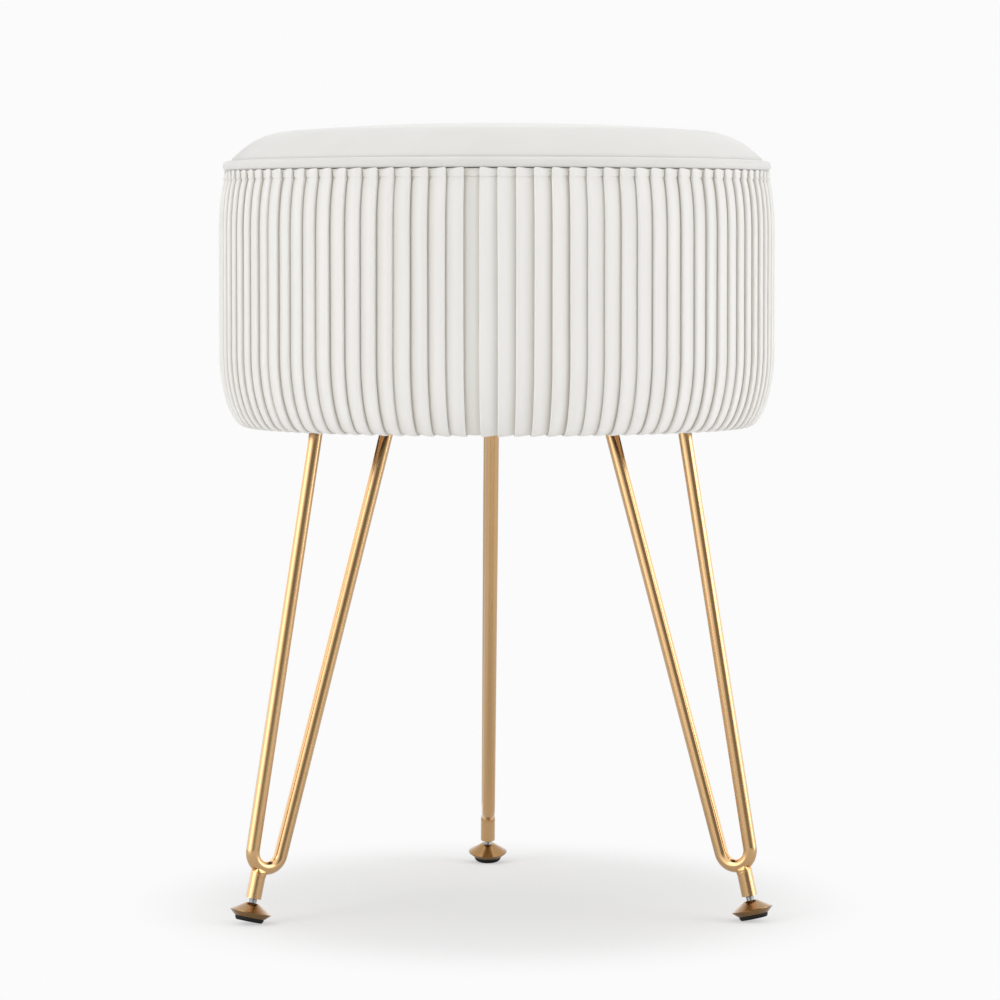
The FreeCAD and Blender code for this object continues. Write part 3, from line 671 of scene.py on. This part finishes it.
    def wall_cloth(self) -> bpy.types.Object:
        """The lining inside the hoop, glued flat with faint vertical puckers.

        Returns:
            The new object.
        """
        rng = random.Random(23)
        pucker = wander(rng, 40, 0.0004)
        inner, outer = self.mouth_radius + 0.0004, self.hoop_radius - 0.0002
        low, high = self.board_top + 0.0001, self.top - 0.0015
        rows = 10
        line = [(inner, low + (high - low) * row / rows) for row in range(rows + 1)]
        line += [(outer, high), (outer, low)]

        def change(azimuth: float, height: float) -> float:
            """How far the cloth stands off the hoop, most at half height."""
            rise = (height - low) / (high - low)
            return pucker(azimuth + 0.2 * rise) * 4 * rise * (1 - rise)

        piece = turned("wall_lining_cloth", line, LINING, "stand", 240, change, Ends.JOINED)
        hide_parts("wall_lining")
        return piece

    def build(self) -> None:
        """Builds the sleeve and the linings, and dresses the boards and fixings."""
        self.sleeve()
        self.wall_cloth()
        cloth_disc(
            "floor_lining_cloth", "floor_lining", LINING,
            self.mouth_radius - 0.0003, self.board_top, self.board_top + 0.0011,
        )
        cloth_disc(
            "dust_cover_cloth", "dust_cover", DUST_CLOTH,
            0.1426, self.cloth_bottom, self.board_bottom,
        )
        for node in ("drum_hoop", "base_board"):
            paint(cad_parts[node], PLYWOOD)
        for node in ("hoop_screws", "tee_nuts"):
            paint(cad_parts[node], ZINC)


@dataclass
class Lid:
    """The padded lid with its piping, in metres."""

    side: float = 0.1564
    hem: float = 0.1440
    bottom: float = 0.4371
    top: float = 0.4646
    dome: float = 1.586
    dome_reach: float = 0.1242
    shoulder: float = 0.0482
    piping_radius: float = 0.1595
    piping_height: float = 0.4391
    piping_half: float = 0.0030
    # How far the cloth goes round the piping's cord, in degrees, before it turns in as a flange
    piping_wrap: float = 252.0
    flange_radius: float = 0.1445
    flange_low: float = 0.4362
    throat_radius: float = 0.1562
    edge: float = 0.0012
    # The velvet swells over the top of the piping, so no gap shows between them: distance out from the
    # side and height
    swell: Stations = ((0.0, 0.4409), (0.0006, 0.4421), (0.0007, 0.4429), (0.0004, 0.4438))
    hub: float = 0.0005
    lining_reach: float = 0.1394
    lining_low: float = 0.4255
    lining_high: float = 0.4263
    # The lining's section from the disc's lower edge up, out under the board and back down
    lining_edge: Stations = (
        (0.1402, 0.4263), (0.1403, 0.4300), (0.1403, 0.4346), (0.1410, 0.4353), (0.1530, 0.4353),
        (0.1534, 0.4357), (0.1530, 0.4361), (0.1400, 0.4361), (0.1396, 0.4300), (0.1394, 0.4263),
    )
    # The heights between which the lining is gathered
    gathers: tuple[float, float] = (0.4265, 0.4345)

    def crown(self) -> Profile:
        """The lid's section from its hem out, up and over to the middle.

        Returns:
            Radius and height of each station.
        """
        centre = self.top - self.dome
        sine = self.dome_reach / self.dome
        cosine = math.sqrt(1 - sine * sine)
        middle = self.dome_reach - self.shoulder * sine
        level = centre + (self.dome - self.shoulder) * cosine
        line: Profile = [(self.hem, self.bottom), (self.side - self.edge, self.bottom)]
        line += [(self.side, self.bottom + self.edge)]
        line += [(self.side + out, height) for out, height in self.swell]
        start = math.asin((self.side - middle) / self.shoulder)
        finish = math.asin(sine)
        shoulder_steps, dome_steps = 18, 24
        for step in range(1, shoulder_steps + 1):
            angle = start + (finish - start) * step / shoulder_steps
            line.append((middle + self.shoulder * math.sin(angle), level + self.shoulder * math.cos(angle)))
        for step in range(1, dome_steps + 1):
            reach = self.dome_reach * (1 - step / dome_steps)
            line.append((max(reach, 0.0004), centre + math.sqrt(self.dome**2 - reach**2)))
        return line

    def cushion(self) -> bpy.types.Object:
        """The velvet cushion, pulled over its foam.

        Returns:
            The new object.
        """
        rng = random.Random(11)
        round_change, high_change = wander(rng, 9, 0.0002), wander(rng, 14, 0.0002)

        def change(azimuth: float, height: float) -> float:
            """How far the cloth strays from its true round."""
            rise = (height - self.bottom) / (self.top - self.bottom)
            return round_change(azimuth) * (1 - rise) + high_change(azimuth) * rise * (1 - rise)

        # The cushion's velvet is painted darker than the drum's: painted shade
        piece = turned("lid_cushion", self.crown(), SHADED_VELVET, "lid", 256, change, Ends.LAST_FILLED)
        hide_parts("lid_cover", "lid_foam")
        return piece

    def piping(self) -> bpy.types.Object:
        """The round piping, with the flange that is caught under the board.

        Returns:
            The new object.
        """
        rng = random.Random(5)
        stray = wander(rng, 24, 0.00015)
        line: Profile = [(self.flange_radius, self.flange_low)]
        steps = 24
        for step in range(steps + 1):
            angle = -math.pi / 2 + math.radians(self.piping_wrap) * step / steps
            line.append((
                self.piping_radius + self.piping_half * math.cos(angle),
                self.piping_height + self.piping_half * math.sin(angle),
            ))
        line += [(self.throat_radius, self.bottom), (self.flange_radius, self.bottom)]
        # The piping's velvet is painted darker than the drum's: painted shade
        piece = turned(
            "lid_piping", line, SHADED_VELVET, "lid", 360, lambda azimuth, height: stray(azimuth)
        )
        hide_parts("lid_welt")
        return piece

    def lining(self) -> bpy.types.Object:
        """The cloth over the lid's underside, drawn round the locating disc in small gathers.

        Returns:
            The new object.
        """
        rng = random.Random(31)
        gather = wander(rng, 60, 0.0004)
        steps, (lowest, highest) = 12, self.gathers
        line: Profile = [(self.hub, self.lining_low)]
        line += [(self.lining_reach * step / steps, self.lining_low) for step in range(1, steps + 1)]
        line += self.lining_edge
        line += [(self.lining_reach * step / steps, self.lining_high) for step in range(steps - 1, 0, -1)]
        line += [(self.hub, self.lining_high)]

        def change(azimuth: float, height: float) -> float:
            """How far the gathers stand out from the disc's side."""
            return max(0.0, gather(azimuth)) if lowest < height < highest else 0.0

        piece = turned("lid_lining_cloth", line, LINING, "lid", 288, change, Ends.FILLED)
        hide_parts("lid_lining")
        return piece

    def build(self) -> None:
        """Builds the cushion, piping and lining and dresses the boards and fixings."""
        self.cushion()
        self.piping()
        self.lining()
        for node in ("lid_board", "locating_disc"):
            paint(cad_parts[node], PLYWOOD)
        paint(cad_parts["welt_core"], CORD)
        paint(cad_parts["disc_screws"], ZINC)


@dataclass
class HairpinLeg:
    """One hairpin leg with its ferrule and levelling foot, in metres and degrees."""

    number: int
    azimuth: float
    splay: float = 13.2
    foot_reach: float = 0.169442524
    foot_height: float = 0.001735467
    stud_radius: float = 0.0025
    stud_low: float = 0.0057
    stud_high: float = 0.0244
    thread_pitch: float = 0.0008
    rod_radius: float = 0.0040
    bend_radius: float = 0.0094
    bend_inward: float = 0.0028
    bend_level: float = 0.041237
    ferrule_radius: float = 0.0045
    ferrule_top: float = 0.0290
    plate_bottom: float = 0.2868
    # Where each rod meets the plate: distance from the drum's axis and slant in degrees
    rod_tops: Stations = ((0.123546, 10.0), (0.075228, 16.4))
    thread_depth: float = 0.0005
    # The ferrule's bead: how far it runs down the ferrule and up the rod, its root inside the wall and
    # how full it is
    bead_down: float = 0.0016
    bead_up: float = 0.0019
    bead_root: float = 0.0011
    bead_swell: float = 0.0002
    # Half the angle that the bead leaves open at the outer corner, and the angle over which it fades in
    hole_angle: float = 0.45
    hole_fade: float = 0.5
    # The bead at the plate: distance out from the rod's surface and height over the plate's underside
    plate_bead: Stations = (
        (-0.0006, -0.0022), (0.0002, -0.0024), (0.0007, -0.0015), (0.0015, -0.0008), (0.0024, -0.0003),
        (0.0027, 0.0002), (-0.0006, 0.0002),
    )

    def foot_frame(self) -> Matrix:
        """Where the foot's own axis stands, from the pad's underside up.

        Returns:
            The matrix from the foot's axes to the stool's.
        """
        turn = Matrix.Rotation(math.radians(self.azimuth), 4, "Z")
        move = Matrix.Translation((self.foot_reach, 0, self.foot_height))
        tilt = Matrix.Rotation(math.radians(-self.splay), 4, "Y")
        return turn @ move @ tilt

    def stud(self) -> bpy.types.Object:
        """The threaded stud, with one helical ridge.

        Returns:
            The new object.
        """
        around, per_turn = 32, 12
        rows = int((self.stud_high - self.stud_low) / self.thread_pitch * per_turn)
        points: list[Point] = []
        for row in range(rows + 1):
            height = self.stud_low + (self.stud_high - self.stud_low) * row / rows
            for step in range(around):
                azimuth = math.tau * step / around
                phase = (height / self.thread_pitch - step / around) % 1.0
                reach = self.stud_radius - self.thread_depth * abs(2 * phase - 1)
                points.append((reach * math.cos(azimuth), reach * math.sin(azimuth), height))
        frame = self.foot_frame()
        points = [tuple(frame @ Vector(point)) for point in points]
        faces = ring_faces(rows + 1, around, Ends.FILLED)
        piece = new_piece("stud_thread_%d" % self.number, points, faces, ZINC, "stud_%d" % self.number)
        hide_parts("foot_stud_%d" % self.number)
        return piece

    def on_rod(self, point: Vector) -> Vector:
        """The point of the rod's bend nearest to a point, both in the foot's own axes.

        Args:
            point: any point near the bend.

        Returns:
            The point on the rod's surface.
        """
        centre = Vector((-self.bend_inward, 0.0, self.bend_level))
        arm = Vector((point.x - centre.x, 0.0, point.z - centre.z)).normalized() * self.bend_radius
        return centre + arm + (point - centre - arm).normalized() * (self.rod_radius + 0.00003)

    def ferrule_weld(self) -> bpy.types.Object:
        """The bead that joins the ferrule to the bend and leaves a small hole at its outer corner.

        Returns:
            The new object.
        """
        rng = random.Random(40 + self.number)
        ripple = wander(rng, 14, 0.00012)
        around, parts = 72, 6
        rings: list[list[Vector]] = []
        for step in range(around):
            azimuth = math.tau * step / around
            away = min(azimuth, math.tau - azimuth)
            share = min(1.0, max(0.03, (away - self.hole_angle) / self.hole_fade))
            out = Vector((math.cos(azimuth), math.sin(azimuth), 0.0))
            wall = out * self.ferrule_radius
            depth = self.bend_radius + self.rod_radius
            across = wall.x + self.bend_inward
            level = min(self.ferrule_top, self.bend_level - math.sqrt(depth**2 - across**2))
            down = (self.bead_down + ripple(azimuth)) * share
            up = (self.bead_up + ripple(azimuth + 2)) * share
            low = wall + Vector((0, 0, level - down))
            high = self.on_rod(wall + Vector((0, 0, level + up)))
            corner = wall + Vector((0, 0, level)) + out * self.bead_swell * share
            ring = []
            for part in range(parts + 1):
                t = part / parts
                ring.append(low * (1 - t) ** 2 + corner * (2 * t * (1 - t)) + high * t**2)
            ring.append(out * (self.ferrule_radius - self.bead_root) + Vector((0, 0, level + 0.0003)))
            rings.append(ring)
        rows = len(rings[0])
        frame = self.foot_frame()
        points = [tuple(frame @ rings[column][row]) for row in range(rows) for column in range(around)]
        faces = ring_faces(rows, around, Ends.JOINED)
        piece = new_piece("ferrule_weld_%d" % self.number, points, faces, WELD_BRASS, "stand")
        smooth(piece, 60)
        return piece

    def plate_weld(self, side: int, reach: float, tilt: float) -> bpy.types.Object:
        """The bead round one rod where it meets its plate.

        Args:
            side: which of the leg's two rods it belongs to, from 1.
            reach: the rod's distance from the drum's axis at the plate.
            tilt: the rod's slant in degrees.

        Returns:
            The new object.
        """
        rng = random.Random(60 + 2 * self.number + side)
        ripple = wander(rng, 16, 0.00015)
        slant = math.tan(math.radians(tilt))
        shear = Matrix.Identity(4)
        shear[0][2] = -slant
        turn = Matrix.Rotation(math.radians(self.azimuth), 4, "Z")
        place = turn @ Matrix.Translation((reach, 0, self.plate_bottom)) @ shear
        line = [(self.rod_radius + out, height) for out, height in self.plate_bead]
        piece = turned(
            "plate_weld_%d_%d" % (self.number, side), line, WELD_BRASS, "stand", 48,
            lambda azimuth, height: ripple(azimuth), Ends.JOINED, place,
        )
        return piece

    def build(self) -> None:
        """Builds the stud and the welds, and dresses the rod, plate, ferrule and foot."""
        self.stud()
        self.ferrule_weld()
        for side, (reach, tilt) in enumerate(self.rod_tops, start=1):
            self.plate_weld(side, reach, tilt)
        finishes = {
            "leg_plate": SATIN_BRASS,
            "hairpin_rod": SATIN_BRASS,
            "ferrule": SATIN_BRASS,
            "leg_screws": ZINC,
            "foot_cone": ANTIQUE_BRASS,
            "foot_pad": RUBBER,
        }
        for stem, finish in finishes.items():
            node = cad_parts["%s_%d" % (stem, self.number)]
            paint(node, finish)


@dataclass
class Studio:
    """A pale floor, soft lights and the camera, in metres."""

    camera_distance: float = 2.6383
    camera_height: float = 0.3944
    camera_azimuth: float = 268.0
    pitch: float = 3.33
    yaw: float = 0.04
    lens: float = 159.53
    floor_size: float = 9.0
    paper_white: float = 0.965
    # Half the width and depth of the oval under the stool where the floor's lit shade shows; its fade to
    # white is painted
    shade_reach: Point = (0.185, 0.23, 1.0)
    shade_full: float = 0.70
    shade_gone: float = 1.25
    # The share of white glow still mixed into the oval's middle: painted light that lightens the shade
    # there
    least_white: float = 0.42
    lamps_aim: Point = (0.0, 0.0, 0.25)
    room_light: float = 0.55
    # Bright metal mirrors a darker part of the room, a little to the right of the camera: which way it
    # lies, the cosines at which it starts and is full, and the strength outside and inside it
    dark_way: Point = (0.309, -0.951, 0.0)
    dark_from: float = 0.68
    dark_full: float = 0.93
    mirrored_bright: float = 1.45
    mirrored_dark: float = 0.26

    def camera(self) -> None:
        """The camera at the photograph's place."""
        turn = math.radians(self.camera_azimuth)
        data = bpy.data.cameras.new("camera")
        data.lens = self.lens
        data.sensor_width = 36.0
        data.clip_end = 50.0
        camera = bpy.data.objects.new("camera", data)
        camera.location = (
            self.camera_distance * math.cos(turn),
            self.camera_distance * math.sin(turn),
            self.camera_height,
        )
        camera.rotation_euler = (
            math.radians(90 - self.pitch),
            0.0,
            math.radians(self.camera_azimuth - 270 - self.yaw),
        )
        bpy.context.scene.collection.objects.link(camera)
        bpy.context.scene.camera = camera

    def lamp(self, name: str, place: Point, size: tuple[float, float], watts: float) -> None:
        """A softbox that faces the stool.

        Args:
            name: the lamp's name.
            place: where it stands.
            size: its width and height.
            watts: its power.
        """
        data = bpy.data.lights.new(name, "AREA")
        data.shape = "RECTANGLE"
        data.size, data.size_y = size
        data.energy = watts
        lamp = bpy.data.objects.new(name, data)
        lamp.location = place
        aim = Vector(self.lamps_aim) - Vector(place)
        lamp.rotation_euler = aim.to_track_quat("-Z", "Y").to_euler()
        bpy.context.scene.collection.objects.link(lamp)

    def world(self) -> None:
        """A white surround, seen white by the camera and softer as light."""
        world = bpy.data.worlds.new("surround")
        bpy.context.scene.world = world
        world.use_nodes = True
        tree = world.node_tree
        tree.nodes.clear()
        path = add_node(tree, "ShaderNodeLightPath")
        place = add_node(tree, "ShaderNodeTexCoord")
        facing = add_node(tree, "ShaderNodeVectorMath", {"operation": "DOT_PRODUCT"}, {
            0: place.outputs["Generated"],
        })
        facing.inputs[1].default_value = self.dark_way
        front = add_node(tree, "ShaderNodeMapRange", {
            "From Min": self.dark_from,
            "From Max": self.dark_full,
            "To Min": self.mirrored_bright,
            "To Max": self.mirrored_dark,
        }, {"Value": facing.outputs["Value"]})
        glossy = add_node(tree, "ShaderNodeBackground", links={"Strength": front.outputs["Result"]})
        soft = add_node(tree, "ShaderNodeBackground", {"Strength": self.room_light})
        white = add_node(tree, "ShaderNodeBackground", {"Strength": self.paper_white})
        for shade in (glossy, soft, white):
            shade.inputs["Color"].default_value = PURE_WHITE
        lit = add_node(tree, "ShaderNodeMixShader", links={
            0: path.outputs["Is Glossy Ray"],
            1: soft.outputs[0],
            2: glossy.outputs[0],
        })
        seen = add_node(tree, "ShaderNodeMixShader", links={
            0: path.outputs["Is Camera Ray"],
            1: lit.outputs[0],
            2: white.outputs[0],
        })
        output = add_node(tree, "ShaderNodeOutputWorld")
        tree.links.new(seen.outputs[0], output.inputs["Surface"])

    def floor(self) -> None:
        """Pale paper that glows white for the camera, save in an oval under the stool where its lit shade
        shows: the oval's fade to white is painted, and some glow lightens the shade inside it.
        """
        half = self.floor_size / 2
        mesh = bpy.data.meshes.new("floor")
        mesh.from_pydata(
            [(-half, -half, 0), (half, -half, 0), (half, half, 0), (-half, half, 0)], [], [(0, 1, 2, 3)]
        )
        floor = bpy.data.objects.new("floor", mesh)
        bpy.context.scene.collection.objects.link(floor)
        paper = bpy.data.materials.new("paper_backdrop_matt")
        paper.use_nodes = True
        tree = paper.node_tree
        tree.nodes.clear()
        place = add_node(tree, "ShaderNodeTexCoord")
        # The paper is burnt out to white except in an oval under the stool: a painted fade from its lit
        # shade to white glow
        oval = add_node(tree, "ShaderNodeVectorMath", {"operation": "DIVIDE"}, {
            0: place.outputs["Object"],
        })
        oval.inputs[1].default_value = self.shade_reach
        distance = add_node(tree, "ShaderNodeVectorMath", {"operation": "LENGTH"}, {
            0: oval.outputs["Vector"],
        })
        far = add_node(tree, "ShaderNodeMapRange", {
            "interpolation_type": "SMOOTHSTEP",
            "From Min": self.shade_full,
            "From Max": self.shade_gone,
            "To Min": self.least_white,
        }, {"Value": distance.outputs["Value"]})
        sheet = add_node(tree, "ShaderNodeBsdfPrincipled", {
            "Base Color": linear("F6F6F6"),
            "Roughness": 0.9,
            "Specular IOR Level": 0.1,
        })
        white = add_node(tree, "ShaderNodeEmission", {
            "Color": PURE_WHITE,
            "Strength": self.paper_white,
        })
        path = add_node(tree, "ShaderNodeLightPath")
        shown = add_node(tree, "ShaderNodeMath", {"operation": "MULTIPLY"}, {
            0: far.outputs["Result"],
            1: path.outputs["Is Camera Ray"],
        })
        mixed = add_node(tree, "ShaderNodeMixShader", links={
            0: shown.outputs[0],
            1: sheet.outputs[0],
            2: white.outputs[0],
        })
        output = add_node(tree, "ShaderNodeOutputMaterial")
        tree.links.new(mixed.outputs[0], output.inputs["Surface"])
        mesh.materials.append(paper)

    def build(self) -> None:
        """Sets the camera, the surround, the floor and the lamps."""
        bpy.context.scene.view_settings.view_transform = "Standard"
        self.camera()
        self.world()
        self.floor()
        self.lamp("key_left", (-1.7, -1.3, 1.7), (1.2, 1.2), 12)
        self.lamp("fill_right", (1.9, -1.0, 1.1), (1.4, 1.4), 12)
        self.lamp("top", (0.0, 0.2, 2.3), (1.6, 1.6), 9)
        self.lamp("strip_left", (-1.6, -0.9, 0.45), (1.3, 0.9), 4.5)
        self.lamp("strip_right", (1.9, -0.35, 0.40), (0.6, 0.9), 4)


def main() -> None:
    """Builds the stool and its studio."""
    logging.basicConfig(level=logging.INFO, format="%(name)s %(message)s")
    Drum().build()
    Lid().build()
    for number, azimuth in enumerate((90.0, 210.0, 330.0), start=1):
        HairpinLeg(number, azimuth).build()
    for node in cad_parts.values():
        smooth(node, 30)
    Studio().build()


if __name__ == "__main__":
    main()
